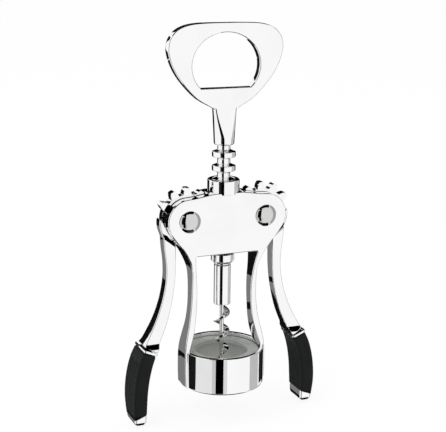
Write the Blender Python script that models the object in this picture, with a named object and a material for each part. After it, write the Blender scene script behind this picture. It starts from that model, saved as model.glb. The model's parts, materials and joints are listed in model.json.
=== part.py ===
"""Lever corkscrew: a chromed body with a bell, two geared levers, a ring rack and an opener head.

The origin is the centre of the bell's mouth. +Z runs up the worm's axis, and -Y is the front.
Lengths below are in millimetres, and solid() turns them into metres.
"""

import math

import bmesh
import bpy
from mathutils import Matrix, Vector

MM = 0.001
GAP = 0.3  # clearance between neighbouring pieces

# Levers, gears and rack
PIVOT_X = 19.6
PIVOT_Z = 84.6
RING_PITCH = 6.7
TOOTH_STEP = math.radians(29)
PITCH_R = RING_PITCH / TOOTH_STEP
PRESSURE_ANGLE = math.radians(20)
TOOTH_PHASE = math.radians(1)  # the meshed tooth's angle above the pivot's level
TEETH_BELOW = 1
TEETH_ABOVE = 5
TOOTH_WIDTH = 3.9  # measured round the pitch circle
BACKLASH = 0.5
GEAR_TIP_R = 15.5
GEAR_ROOT_R = 12.2
GEAR_HALF_Y = 2.2
ARM_HALF_Y = 2.6
RACK_R = 5.7
RACK_ROOT_R = 3.1
RACK_RINGS = 7
RACK_TOP_Z = 119.3

# Body
CHEEK_HALF_Y = 6.8
SLOT_HALF_Y = 3.0
SLOT_R = GEAR_TIP_R + 0.4
LOBE_R = 10.8
WINDOW_TOP_Z = 66.9
BORE_R = 6.2
COLLAR_R = 7.75
COLLAR_Z = (96.1, 102.9)
BELL_R = 20.8
BELL_BORE_R = 18.9
BELL_H = 18.7

# Rivets
RIVET_R = 3.0
RIVET_HEAD_R = 5.0
RIVET_HEAD_H = 1.4

# Handle and worm
PLATE_HALF_Y = 2.25
HOLE_CENTRE_Z = 156.9
HOLE_HALF_X = 17.1
HOLE_HALF_Z = 15.35
LIP_Z = 146.6
ROD_R = 1.6
ROD_Z = (50.3, 130.5)
ROD_BORE_R = ROD_R + GAP
FLANGE_Z = 61.6
SOCKET_R = 4.1
SOCKET_Z = (40.2, 60.3)
WORM_R = 4.0
WORM_PITCH = 9.6
WORM_CORE_R = 1.05
WORM_TIP_Z = 9.5

# Front outline of a cheek, right half, from the window's corner to the collar
CHEEK_FOOT = [(20.1, WINDOW_TOP_Z), (22.3, 70.6), (25.2, 74.0)]
CHEEK_TOP = [(17.0, 95.6), (7.5, 97.1)]

# Leg sections: height, inner x, outer x, half depth
LEG = [
    (70.0, 16.9, 21.9, 6.3),
    (66.0, 16.4, 19.6, 6.2),
    (62.0, 16.0, 18.0, 5.0),
    (58.0, 15.5, 17.1, 4.1),
    (52.0, 14.3, 16.9, 3.4),
    (46.0, 14.1, 17.0, 3.1),
    (40.0, 14.3, 17.3, 3.0),
    (33.0, 14.9, 18.2, 3.3),
    (26.5, 16.2, 19.6, 4.2),
    (21.0, 17.9, 20.7, 4.9),
    (16.0, 19.1, 21.1, 5.3),
    (8.0, 19.2, 21.1, 5.5),
    (1.2, 19.2, 20.9, 5.5),
]

# Right lever's arm below the hub: centre x, centre z, thickness, half depth
ARM = [
    (28.2, 79.0, 6.4, ARM_HALF_Y),
    (28.1, 72.0, 5.9, ARM_HALF_Y),
    (27.7, 65.0, 5.0, ARM_HALF_Y),
    (27.7, 58.0, 4.6, ARM_HALF_Y),
    (28.5, 50.5, 4.8, ARM_HALF_Y),
    (30.1, 43.0, 5.2, 2.8),
    (32.6, 35.2, 5.8, 3.4),
    (35.8, 28.2, 6.2, 5.2),
    (38.2, 23.6, 6.4, 6.9),
]
FLARE_SIZE = (6.4, 6.9)
FLANGE_THICK = 1.2
FLANGE_SIZE = (7.4, 7.4)  # thickness and half depth
CORE_SIZE = (3.4, 4.8)
TIP_SIZE = (5.8, 6.2)

# Grip's centreline from the flange down: centre x, centre z, thickness, half depth
GRIP = [
    (39.6, 20.9, 6.8, 7.2),
    (41.7, 15.8, 7.1, 7.7),
    (43.3, 9.6, 7.2, 8.0),
    (44.3, 2.6, 7.2, 8.0),
    (44.6, -4.4, 7.0, 7.8),
    (44.4, -11.8, 6.4, 7.0),
]
TIP_DROP = 3.4  # bare metal below the grip

# Head's front outline, right half, from the neck to the top
HEAD_SIDE = [
    (5.9, 136.6),
    (9.4, 138.6),
    (14.4, 141.7),
    (19.2, 146.2),
    (23.8, 151.8),
    (27.0, 157.4),
    (28.8, 163.0),
    (28.9, 166.6),
    (27.9, 170.0),
    (25.2, 173.3),
    (21.2, 175.4),
    (16.0, 176.5),
    (8.0, 176.9),
]

# Neck sections: height, radius, half depth where the scoops flatten it
NECK = [
    (119.6, 4.5, 4.5),
    (120.3, 4.9, 4.9),
    (125.0, 5.15, 5.15),
    (128.0, 5.3, 4.3),
    (131.0, 5.5, 3.4),
    (134.0, 5.7, 2.7),
    (137.0, 5.95, 2.3),
    (140.5, 6.1, 2.2),
]


# ---------------------------------------------------------------- materials


def material(name, colour, roughness, metallic):
    found = bpy.data.materials.new(name)
    found.use_nodes = True
    shader = found.node_tree.nodes["Principled BSDF"]
    shader.inputs["Base Color"].default_value = (*colour, 1)
    shader.inputs["Roughness"].default_value = roughness
    shader.inputs["Metallic"].default_value = metallic
    found.diffuse_color = (*colour, 1)
    return found


# ---------------------------------------------------------------- shapes


def solid(name, bm, finish, origin=(0, 0, 0)):
    """Makes an object in metres from a bmesh in millimetres, with its origin at the given point."""
    bmesh.ops.recalc_face_normals(bm, faces=bm.faces)
    bmesh.ops.translate(bm, verts=bm.verts, vec=-Vector(origin))
    bmesh.ops.scale(bm, verts=bm.verts, vec=(MM, MM, MM))
    mesh = bpy.data.meshes.new(name)
    bm.to_mesh(mesh)
    bm.free()
    obj = bpy.data.objects.new(name, mesh)
    bpy.context.scene.collection.objects.link(obj)
    obj.location = Vector(origin) * MM
    mesh.materials.append(finish)
    return obj


def sections_mesh(sections, closed=False):
    """A skin over a list of sections, each a list of points. The ends are capped unless closed."""
    bm = bmesh.new()
    rows = [[bm.verts.new(point) for point in section] for section in sections]
    pairs = list(zip(rows, rows[1:]))
    if closed:
        pairs.append((rows[-1], rows[0]))
    for lower, upper in pairs:
        count = len(lower)
        for i in range(count):
            j = (i + 1) % count
            bm.faces.new((lower[i], lower[j], upper[j], upper[i]))
    if not closed:
        bm.faces.new(rows[0])
        bm.faces.new(rows[-1])
    return bm


def circle(radius, z, segments, half_y=math.inf):
    """Points of a level circle, flattened where it passes the half depth."""
    points = []
    for i in range(segments):
        angle = 2 * math.pi * i / segments
        y = max(-half_y, min(half_y, radius * math.sin(angle)))
        points.append((radius * math.cos(angle), y, z))
    return points


def turned_rod(profile, segments):
    """A solid of revolution about Z from (radius, z) pairs, with flat ends."""
    return sections_mesh([circle(r, z, segments) for r, z in profile])


def turned_tube(profile, segments):
    """A ring about Z from a closed loop of (radius, z) pairs."""
    return sections_mesh([circle(r, z, segments) for r, z in profile], closed=True)


def prism(outline, y_low, y_high):
    """An outline of (x, z) pairs, extruded along Y."""
    return sections_mesh([[(x, y, z) for x, z in outline] for y in (y_low, y_high)])


def along_y(bm, x, z):
    """Lays a solid turned about Z along Y, so that its top faces the front, and moves it to x, z."""
    turn = Matrix.Translation((x, 0, z)) @ Matrix.Rotation(math.radians(90), 4, "X")
    bmesh.ops.transform(bm, matrix=turn, verts=bm.verts)
    return bm


def mirrored(bm):
    bmesh.ops.scale(bm, verts=bm.verts, vec=(-1, 1, 1))
    bmesh.ops.reverse_faces(bm, faces=bm.faces)
    return bm


def for_side(bm, side):
    """Shapes are drawn for the right side: side is 1 there and -1 on the left."""
    return bm if side > 0 else mirrored(bm)


def arc(centre, radius, start, end, steps):
    """Points on an arc, with its angles in degrees."""
    points = []
    for i in range(steps + 1):
        angle = math.radians(start + (end - start) * i / steps)
        points.append((centre[0] + radius * math.cos(angle), centre[1] + radius * math.sin(angle)))
    return points


def combine(target, operation, tools):
    """Joins tools to the target, or cuts them from it, and leaves one plain mesh."""
    for tool in tools:
        modifier = target.modifiers.new(operation, "BOOLEAN")
        modifier.operation = operation
        modifier.solver = "EXACT"
        modifier.object = tool
        bpy.context.view_layer.update()
        graph = bpy.context.evaluated_depsgraph_get()
        result = bpy.data.meshes.new_from_object(target.evaluated_get(graph))
        target.modifiers.clear()
        target.data = result
        bpy.data.objects.remove(tool)
    return target


def smooth(obj, angle=30):
    obj.data.shade_smooth()
    obj.data.set_sharp_from_angle(angle=math.radians(angle))


# ---------------------------------------------------------------- body


def cheek_outline():
    lobe = arc((PIVOT_X, PIVOT_Z), LOBE_R, -38, 82, 10)
    half = CHEEK_FOOT + lobe + CHEEK_TOP
    return half + [(-x, z) for x, z in reversed(half)]


def chamfered_box(x_low, x_high, half_y, z, chamfer):
    """A level rectangle with its corners cut."""
    points = []
    for x, y, turn_first in (
        (x_high, half_y, True),
        (x_low, half_y, False),
        (x_low, -half_y, True),
        (x_high, -half_y, False),
    ):
        step_x = (x - math.copysign(chamfer, x - (x_low + x_high) / 2), y, z)
        step_y = (x, y - math.copysign(chamfer, y), z)
        points += [step_y, step_x] if turn_first else [step_x, step_y]
    return points


def leg(side):
    sections = [chamfered_box(x_in, x_out, half_y, z, 0.5) for z, x_in, x_out, half_y in LEG]
    return for_side(sections_mesh(sections), side)


def slot(side):
    """The room that a gear turns in, open upwards."""
    high = COLLAR_Z[1] + 5
    start = 180 - math.degrees(math.acos((PIVOT_X - COLLAR_R) / SLOT_R))
    outline = arc((PIVOT_X, PIVOT_Z), SLOT_R, start, 360, 32)
    outline += [(PIVOT_X + SLOT_R, high), (COLLAR_R, high)]
    return for_side(prism(outline, -SLOT_HALF_Y, SLOT_HALF_Y), side)


def body_frame(finish):
    body = solid("body_frame", prism(cheek_outline(), -CHEEK_HALF_Y, CHEEK_HALF_Y), finish)
    bell = [
        (BELL_BORE_R, 0),
        (BELL_R - 1.0, 0),
        (BELL_R - 0.3, 0.3),
        (BELL_R, 1.0),
        (BELL_R, BELL_H - 0.3),
        (BELL_R - 0.3, BELL_H),
        (BELL_BORE_R, BELL_H),
    ]
    collar = [(COLLAR_R, COLLAR_Z[0]), (COLLAR_R, COLLAR_Z[1] - 0.4), (COLLAR_R - 0.4, COLLAR_Z[1])]
    joined = [solid("collar", turned_rod(collar, 32), finish), solid("bell", turned_tube(bell, 48), finish)]
    joined += [solid("leg", leg(side), finish) for side in (1, -1)]
    combine(body, "UNION", joined)
    bore = [(BORE_R, WINDOW_TOP_Z - 5), (BORE_R, COLLAR_Z[1] + 5)]
    cuts = [solid("bore", turned_rod(bore, 32), finish)]
    cuts += [solid("slot", slot(side), finish) for side in (1, -1)]
    hole = [(RIVET_R + GAP, -CHEEK_HALF_Y - 1), (RIVET_R + GAP, CHEEK_HALF_Y + 1)]
    for side in (1, -1):
        cuts.append(solid("hole", along_y(turned_rod(hole, 24), side * PIVOT_X, PIVOT_Z), finish))
    combine(body, "DIFFERENCE", cuts)
    smooth(body)


def bell_liner(finish):
    profile = [
        (15.9, 0.5),
        (BELL_BORE_R - GAP, 0.5),
        (BELL_BORE_R - GAP, 16.8),
        (13.4, 16.8),
        (13.0, 16.4),
        (13.0, 14.8),
        (15.9, 14.0),
    ]
    smooth(solid("bell_liner", turned_tube(profile, 40), finish))


# ---------------------------------------------------------------- rivets and washers


def dome(shank_r, shank_end, head_z):
    """A domed head standing on head_z, with its shank down to shank_end."""
    profile = [(shank_r, shank_end), (shank_r, head_z)]
    steps = 4
    for i in range(steps + 1):
        angle = math.radians(80) * i / steps
        profile.append((RIVET_HEAD_R * math.cos(angle), head_z + 0.4 + (RIVET_HEAD_H - 0.4) * math.sin(angle)))
    profile.insert(2, (RIVET_HEAD_R, head_z))
    return turned_rod(profile, 24)


def rivet(label, side, finish):
    """The front half, whose shank carries the gear, and the rear half that closes on it."""
    pivot = (side * PIVOT_X, 0, PIVOT_Z)
    seat = CHEEK_HALF_Y + GAP / 2
    front = along_y(dome(RIVET_R, -4.0, seat), pivot[0], PIVOT_Z)
    smooth(solid(label + "_pivot_rivet", front, finish, pivot))
    rear = dome(RIVET_R, 4.0 + GAP, seat)
    bmesh.ops.rotate(rear, verts=rear.verts, matrix=Matrix.Rotation(math.pi, 3, "X"))
    smooth(solid(label + "_rivet_cap", along_y(rear, pivot[0], PIVOT_Z), finish, pivot))


def gear_washers(label, side, finish):
    clear = (SLOT_HALF_Y - GEAR_HALF_Y) / 5
    near, far = GEAR_HALF_Y + clear, SLOT_HALF_Y - clear
    for place, low, high in (("front", near, far), ("rear", -far, -near)):
        profile = [(RIVET_R + GAP, low), (6.0, low), (6.0, high), (RIVET_R + GAP, high)]
        ring = along_y(turned_tube(profile, 24), side * PIVOT_X, PIVOT_Z)
        smooth(solid(f"{label}_{place}_washer", ring, finish, (side * PIVOT_X, 0, PIVOT_Z)))


# ---------------------------------------------------------------- levers and grips


def involute(angle):
    return math.tan(angle) - angle


def gear_outline():
    """Outline about the pivot at 0, 0. The rack is on its -X side, where the meshed tooth points."""
    base_r = PITCH_R * math.cos(PRESSURE_ANGLE)
    start = TOOTH_WIDTH / (2 * PITCH_R) + involute(PRESSURE_ANGLE)
    flank = [(GEAR_ROOT_R, start)]
    steps = 4
    for i in range(steps + 1):
        radius = base_r + (GEAR_TIP_R - base_r) * i / steps
        flank.append((radius, start - involute(math.acos(base_r / radius))))
    points = []
    for tooth in range(-TEETH_BELOW, TEETH_ABOVE + 1):
        middle = TOOTH_PHASE + tooth * TOOTH_STEP
        points += [(radius, middle - half) for radius, half in flank]
        points += [(radius, middle + half) for radius, half in reversed(flank)]
        if tooth < TEETH_ABOVE:
            points.append((GEAR_ROOT_R, middle + TOOTH_STEP / 2))
    last, first = points[-1][1], points[0][1] + 2 * math.pi
    bare = 14
    points += [(GEAR_ROOT_R, last + (first - last) * i / bare) for i in range(1, bare)]
    return [(-radius * math.cos(angle), radius * math.sin(angle)) for radius, angle in points]


def along_path(path):
    """Sections square to a path of (x, z, thickness, half depth), as rectangles with cut corners."""
    sections = []
    for i, (x, z, thick, half_y) in enumerate(path):
        before, after = path[max(i - 1, 0)], path[min(i + 1, len(path) - 1)]
        run = Vector((after[0] - before[0], after[1] - before[1])).normalized()
        across = Vector((-run.y, run.x)) if run.y < 0 else Vector((run.y, -run.x))
        half, cut = thick / 2, min(0.9, thick / 6)
        corners = ((half, half_y - cut), (half - cut, half_y), (cut - half, half_y), (-half, half_y - cut))
        ring = list(corners) + [(-u, -y) for u, y in corners]
        sections.append([(x + across.x * u, y, z + across.y * u) for u, y in ring])
    return sections


def step(path_point, size):
    return (path_point[0], path_point[1], *size)


def slide(point, towards, distance):
    """The point moved along the path by a distance."""
    run = (Vector(towards[:2]) - Vector(point[:2])).normalized() * distance
    return (point[0] + run.x, point[1] + run.y, *point[2:])


def lever_path():
    """Arm, flange, core under the grip and bare tip, as one run of sections."""
    top = GRIP[0]
    flange_low = slide(top, ARM[-1], GAP)
    flange_high = slide(top, ARM[-1], GAP + FLANGE_THICK)
    path = ARM[:-1] + [slide(step(flange_high, FLARE_SIZE), ARM[-1], 1.2)]
    path += [slide(step(flange_high, FLANGE_SIZE), ARM[-1], 0.01), step(flange_low, FLANGE_SIZE)]
    path += [slide(step(flange_low, CORE_SIZE), GRIP[1], 0.05)]
    path += [step(point, CORE_SIZE) for point in GRIP[1:]]
    end = GRIP[-1]
    low = (end[0], end[1] - GAP, *CORE_SIZE)
    path += [low, step((end[0], low[1] - 0.05), TIP_SIZE)]
    path += [(end[0] - 0.1, end[1] - TIP_DROP * 0.65, 5.0, 5.7), (end[0] - 0.4, end[1] - TIP_DROP, 3.2, 4.4)]
    return path


def lever(label, side, finish):
    pivot = (side * PIVOT_X, 0, PIVOT_Z)
    gear = prism(gear_outline(), -GEAR_HALF_Y, GEAR_HALF_Y)
    bmesh.ops.translate(gear, verts=gear.verts, vec=(PIVOT_X, 0, PIVOT_Z))
    obj = solid(label + "_lever", for_side(gear, side), finish, pivot)
    arm = sections_mesh(along_path(lever_path()))
    shoulder = prism(
        [(31.2, 89.6), (32.9, 84.5), (32.0, 77.5), (30.6, 74.5), (25.6, 74.5), (26.6, 76.6), (30.4, 82.0)],
        -ARM_HALF_Y,
        ARM_HALF_Y,
    )
    added = [solid("arm", for_side(arm, side), finish), solid("shoulder", for_side(shoulder, side), finish)]
    combine(obj, "UNION", added)
    hole = along_y(turned_rod([(RIVET_R + GAP, -9), (RIVET_R + GAP, 9)], 24), pivot[0], PIVOT_Z)
    combine(obj, "DIFFERENCE", [solid("hole", hole, finish)])
    smooth(obj)


def grip(label, side, finish):
    outer = sections_mesh(along_path(GRIP))
    size = (CORE_SIZE[0] + 2 * GAP, CORE_SIZE[1] + GAP)
    inner_path = [step(point, size) for point in GRIP]
    inner_path[0] = slide(inner_path[0], GRIP[1], -2)
    inner_path[-1] = slide(inner_path[-1], GRIP[-2], -2)
    obj = solid(label + "_grip", for_side(outer, side), finish, (side * PIVOT_X, 0, PIVOT_Z))
    channel = for_side(sections_mesh(along_path(inner_path)), side)
    combine(obj, "DIFFERENCE", [solid("channel", channel, finish)])
    smooth(obj)


# ---------------------------------------------------------------- rack, head and worm


def rack_sleeve(finish):
    """A tube whose rings are a straight rack all the way round."""
    pitch_line = PIVOT_X - PITCH_R
    rim = (RING_PITCH - TOOTH_WIDTH - BACKLASH) / 2 + (pitch_line - RACK_R) * math.tan(PRESSURE_ANGLE)
    foot = rim + (RACK_R - RACK_ROOT_R) * math.tan(PRESSURE_ANGLE)
    profile = [(ROD_BORE_R, FLANGE_Z), (4.8, FLANGE_Z), (RACK_R, FLANGE_Z + 0.9), (RACK_R, FLANGE_Z + 4.4)]
    profile.append((RACK_ROOT_R, FLANGE_Z + 5.0))
    gap_z = PIVOT_Z + PITCH_R * TOOTH_PHASE
    lowest = gap_z - 1.5 * RING_PITCH
    for ring in range(RACK_RINGS):
        z = lowest + ring * RING_PITCH
        profile += [(RACK_ROOT_R, z - foot), (RACK_R, z - rim), (RACK_R, z + rim), (RACK_ROOT_R, z + foot)]
    profile += [(RACK_ROOT_R, RACK_TOP_Z), (ROD_BORE_R, RACK_TOP_Z)]
    smooth(solid("rack_sleeve", turned_tube(profile, 32), finish))


def opener_hole():
    """Outline of the hole: an ellipse cut by the straight lip."""
    reach = math.degrees(math.asin((HOLE_CENTRE_Z - LIP_Z) / HOLE_HALF_Z))
    return [
        (x * HOLE_HALF_X, HOLE_CENTRE_Z + z * HOLE_HALF_Z)
        for x, z in arc((0, 0), 1, -reach, 180 + reach, 28)
    ]


def opener_head(finish):
    outline = HEAD_SIDE + [(-x, z) for x, z in reversed(HEAD_SIDE)]
    head = solid("opener_head", prism(outline, -PLATE_HALF_Y, PLATE_HALF_Y), finish)
    neck = sections_mesh([circle(r, z, 28, half_y) for z, r, half_y in NECK])
    combine(head, "UNION", [solid("neck", neck, finish)])
    hole = prism(opener_hole(), -PLATE_HALF_Y - 1, PLATE_HALF_Y + 1)
    bore = turned_rod([(ROD_BORE_R, NECK[0][0] - 2), (ROD_BORE_R, ROD_Z[1] + GAP)], 16)
    combine(head, "DIFFERENCE", [solid("hole", hole, finish), solid("bore", bore, finish)])
    smooth(head)


def spindle_rod(finish):
    smooth(solid("spindle_rod", turned_rod([(ROD_R, ROD_Z[0]), (ROD_R, ROD_Z[1])], 16), finish))


def thrust_washer(finish):
    low, high = SOCKET_Z[1] + GAP, FLANGE_Z - GAP
    profile = [(ROD_BORE_R, low), (3.9, low), (3.9, high), (ROD_BORE_R, high)]
    smooth(solid("thrust_washer", turned_tube(profile, 24), finish))


def worm_socket(finish):
    low, high = SOCKET_Z
    profile = [(ROD_BORE_R, low), (SOCKET_R - 0.3, low), (SOCKET_R, low + 0.3), (SOCKET_R, high), (ROD_BORE_R, high)]
    smooth(solid("worm_socket", turned_tube(profile, 24), finish))


def worm(finish):
    """A tapered core with a right-hand blade wound on it."""
    top = SOCKET_Z[0] - GAP
    core = [(0.15, WORM_TIP_Z), (WORM_CORE_R, WORM_TIP_Z + 5), (WORM_CORE_R, top), (ROD_R, top + 0.2)]
    core.append((ROD_R, ROD_Z[0] - GAP))
    obj = solid("worm", turned_rod(core, 16), finish)
    steps_per_turn = 14
    left_pass_z, left_angle = 30.9, math.radians(157)  # the blade points this way at this height
    low, high = WORM_TIP_Z + 0.8, top - 1.2
    count = round((high - low) / WORM_PITCH * steps_per_turn)
    sections = []
    for i in range(count + 1):
        z = low + (high - low) * i / count
        angle = left_angle + 2 * math.pi * (z - left_pass_z) / WORM_PITCH
        reach = min(1, 0.35 + 0.65 * i / (0.6 * steps_per_turn))
        radius = WORM_R * reach
        blade = [(0.5, -1.0), (radius, -0.45), (radius, 0.45), (0.5, 1.0)]
        sections.append([(r * math.cos(angle), r * math.sin(angle), z + rise) for r, rise in blade])
    combine(obj, "UNION", [solid("blade", sections_mesh(sections), finish)])
    smooth(obj)


# ---------------------------------------------------------------- build


def main():
    for obj in list(bpy.data.objects):
        bpy.data.objects.remove(obj)
    chrome = material("chrome", (0.82, 0.82, 0.82), 0.06, 1.0)
    steel = material("steel", (0.62, 0.62, 0.61), 0.22, 1.0)
    rubber = material("rubber", (0.012, 0.013, 0.013), 0.55, 0.0)
    liner_plastic = material("liner_plastic", (0.38, 0.39, 0.37), 0.5, 0.0)
    washer_plastic = material("washer_plastic", (0.75, 0.74, 0.7), 0.45, 0.0)
    body_frame(chrome)
    bell_liner(liner_plastic)
    for label, side in (("left", -1), ("right", 1)):
        lever(label, side, chrome)
        grip(label, side, rubber)
        rivet(label, side, chrome)
        gear_washers(label, side, washer_plastic)
    rack_sleeve(chrome)
    opener_head(chrome)
    spindle_rod(steel)
    thrust_washer(steel)
    worm_socket(chrome)
    worm(steel)


main()
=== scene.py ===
import json
import math

import bmesh
import bpy
import numpy as np
from mathutils import Matrix, Vector


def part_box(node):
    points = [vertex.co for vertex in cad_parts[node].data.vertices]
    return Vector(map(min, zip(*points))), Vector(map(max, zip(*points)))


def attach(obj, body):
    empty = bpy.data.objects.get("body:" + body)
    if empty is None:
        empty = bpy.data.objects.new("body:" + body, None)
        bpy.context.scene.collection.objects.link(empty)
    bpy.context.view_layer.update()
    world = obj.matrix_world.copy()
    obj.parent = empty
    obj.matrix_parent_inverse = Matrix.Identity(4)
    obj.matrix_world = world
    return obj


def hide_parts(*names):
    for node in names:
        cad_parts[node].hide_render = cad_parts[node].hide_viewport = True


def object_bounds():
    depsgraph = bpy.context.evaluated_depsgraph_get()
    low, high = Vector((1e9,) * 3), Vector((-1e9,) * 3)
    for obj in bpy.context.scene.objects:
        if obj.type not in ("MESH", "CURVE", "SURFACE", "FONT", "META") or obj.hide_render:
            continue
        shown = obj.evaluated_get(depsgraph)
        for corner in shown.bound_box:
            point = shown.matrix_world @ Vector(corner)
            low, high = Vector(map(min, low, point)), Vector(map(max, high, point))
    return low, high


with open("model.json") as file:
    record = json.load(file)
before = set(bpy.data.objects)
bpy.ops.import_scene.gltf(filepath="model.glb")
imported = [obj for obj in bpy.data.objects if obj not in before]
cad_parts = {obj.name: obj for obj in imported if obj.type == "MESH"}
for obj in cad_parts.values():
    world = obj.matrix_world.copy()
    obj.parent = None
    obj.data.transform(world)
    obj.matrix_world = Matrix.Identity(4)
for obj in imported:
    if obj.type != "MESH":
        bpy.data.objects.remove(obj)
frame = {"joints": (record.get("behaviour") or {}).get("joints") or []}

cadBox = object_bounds()
mm = 0.001  # shapes are drawn in millimetres and scaled once, in makePiece


def jointPoint(name):
    place = next(joint["pos_m"] for joint in frame["joints"] if joint["name"] == name)
    return [value / mm for value in place]


def boxOf(node):
    low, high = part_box(node)
    return low / mm, high / mm


pivotX, _, pivotZ = jointPoint("right_lever_pivot")
pivot = (pivotX, pivotZ)
sides = (("left", -1), ("right", 1))


# outlines

def smoothLine(points, steps=6):
    # a curve through every point, which passes each one in the direction of its neighbours
    line = []
    points = np.array(points, float)
    last = len(points) - 1
    for i in range(last):
        before, here, there, after = points[max(i - 1, 0)], points[i], points[i + 1], points[min(i + 2, last)]
        for k in range(steps):
            t = k / steps
            bend = (here - before + there - here) / 2, (there - here + after - there) / 2
            spot = (1 + 2 * t) * (1 - t) ** 2 * here + t * (1 - t) ** 2 * bend[0]
            line.append(tuple(spot + t * t * (3 - 2 * t) * there - t * t * (1 - t) * bend[1]))
    return [tuple(map(float, spot)) for spot in line] + [tuple(map(float, points[-1]))]


def arc(centre, radius, start, end, steps):
    # start and end are in degrees
    turns = [math.radians(start + (end - start) * i / steps) for i in range(steps + 1)]
    return [(centre[0] + radius * math.cos(turn), centre[1] + radius * math.sin(turn)) for turn in turns]


def rounded(corners, steps=5):
    # a closed outline from (x, z, corner radius), with every corner turned into an arc
    line = []
    for i, (x, z, radius) in enumerate(corners):
        here = Vector((x, z))
        toLast = (Vector(corners[i - 1][:2]) - here).normalized()
        toNext = (Vector(corners[(i + 1) % len(corners)][:2]) - here).normalized()
        if radius == 0:
            line.append((x, z))
            continue
        half = toLast.angle(toNext) / 2
        reach = radius / math.tan(half)
        middle = here + (toLast + toNext).normalized() * radius / math.sin(half)
        first, second = here + toLast * reach - middle, here + toNext * reach - middle
        turn = first.angle(second)
        for k in range(steps + 1):
            spoke = first * math.sin(turn * (1 - k / steps)) + second * math.sin(turn * k / steps)
            line.append(tuple(middle + spoke / math.sin(turn)))
    return line


def mirrorLine(points):
    return [(-x, z) for x, z in reversed(points)]


# shapes

def plate(outline, halfDepth, edge=0, edgeSteps=3):
    # an outline of (x, z) points made a slab along y, with its rims rounded
    bm = bmesh.new()
    face = bm.faces.new([bm.verts.new((x, -halfDepth, z)) for x, z in outline])
    wall = bmesh.ops.extrude_face_region(bm, geom=[face])["geom"]
    bmesh.ops.translate(bm, verts=[v for v in wall if isinstance(v, bmesh.types.BMVert)], vec=(0, 2 * halfDepth, 0))
    bmesh.ops.recalc_face_normals(bm, faces=bm.faces)
    if edge:
        rims = [e for e in bm.edges if abs(e.verts[0].co.y - e.verts[1].co.y) < 1e-6]
        roundEdges(bm, rims, edge, edgeSteps)
    return bm


def roundEdges(bm, edges, width, steps=3):
    bmesh.ops.bevel(bm, geom=edges, offset=width, offset_type="OFFSET", segments=steps, profile=0.5,
                    affect="EDGES", clamp_overlap=False, material=-1)


def lathe(profile, segments=96):
    # a profile of (radius, z) points turned about z; one that starts on the axis is left open there
    bm = bmesh.new()
    verts = [bm.verts.new((radius, 0, z)) for radius, z in profile]
    pairs = list(zip(verts, verts[1:]))
    if profile[0][0] > 0:
        pairs.append((verts[-1], verts[0]))
    edges = [bm.edges.new(pair) for pair in pairs]
    bmesh.ops.spin(bm, geom=verts + edges, axis=(0, 0, 1), cent=(0, 0, 0), angle=math.tau, steps=segments,
                   use_merge=True)
    bmesh.ops.remove_doubles(bm, verts=bm.verts, dist=0.0005)
    bmesh.ops.recalc_face_normals(bm, faces=bm.faces)
    return bm


def sweep(section, stations):
    # a section of (x, y) points pushed through a row of placing matrices; each station but the last keeps its
    # section's face inside the shape, because the extrusion is given the face without its edges
    bm = bmesh.new()
    face = bm.faces.new([bm.verts.new((x, y, 0)) for x, y in section])
    bmesh.ops.transform(bm, matrix=stations[0], verts=bm.verts)
    for before, here in zip(stations, stations[1:]):
        made = bmesh.ops.extrude_face_region(bm, geom=[face])["geom"]
        face = next(part for part in made if isinstance(part, bmesh.types.BMFace))
        bmesh.ops.transform(bm, matrix=here @ before.inverted(), verts=face.verts)
    bmesh.ops.recalc_face_normals(bm, faces=bm.faces)
    return bm


def sliceAcross(bm, low, high, gap):
    # level cuts, so that a long face can follow a curve
    for i in range(int((high - low) / gap) + 1):
        bmesh.ops.bisect_plane(bm, geom=bm.verts[:] + bm.edges[:] + bm.faces[:], dist=1e-5,
                               plane_co=(0, 0, low + i * gap), plane_no=(0, 0, 1))


def setDepth(bm, halfDepth, table):
    # moves the front and back of a slab to the half depth that the table gives at each height
    low, high = min(row[0] for row in table), max(row[0] for row in table)
    line = sorted(smoothLine(table, 8))
    places, depths = [p[0] for p in line], [p[1] for p in line]
    for v in bm.verts:
        depth = float(np.interp(min(max(v.co.z, low), high), places, depths))
        v.co.y += (depth - halfDepth) * math.copysign(1, v.co.y)


def frontward(bm, x, z):
    # lays a turned shape down so that its top faces the front, at x, z
    turn = Matrix.Translation((x, 0, z)) @ Matrix.Rotation(math.pi / 2, 4, "X")
    bmesh.ops.transform(bm, matrix=turn, verts=bm.verts)
    return bm


def onSide(bm, side):
    # shapes are drawn for the right, and mirrored for the left
    if side < 0:
        bmesh.ops.scale(bm, verts=bm.verts, vec=(-1, 1, 1))
        bmesh.ops.reverse_faces(bm, faces=bm.faces)
    return bm


def joined(*shapes):
    whole = bmesh.new()
    for shape in shapes:
        mesh = bpy.data.meshes.new("part")
        shape.to_mesh(mesh)
        shape.free()
        whole.from_mesh(mesh)
        bpy.data.meshes.remove(mesh)
    return whole


def carve(shape, operation, tools):
    # unites shapes with one another, or cuts them from it
    target = looseObject(shape)
    for tool in tools:
        other = looseObject(tool)
        modifier = target.modifiers.new(operation, "BOOLEAN")
        modifier.operation, modifier.solver, modifier.object = operation, "EXACT", other
        graph = bpy.context.evaluated_depsgraph_get()
        result = bpy.data.meshes.new_from_object(target.evaluated_get(graph))
        target.modifiers.clear()
        target.data = result
        bpy.data.objects.remove(other)
    bm = bmesh.new()
    bm.from_mesh(target.data)
    bpy.data.objects.remove(target)
    return bm


def looseObject(shape):
    mesh = bpy.data.meshes.new("loose")
    shape.to_mesh(mesh)
    shape.free()
    obj = bpy.data.objects.new("loose", mesh)
    bpy.context.scene.collection.objects.link(obj)
    return obj


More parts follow.
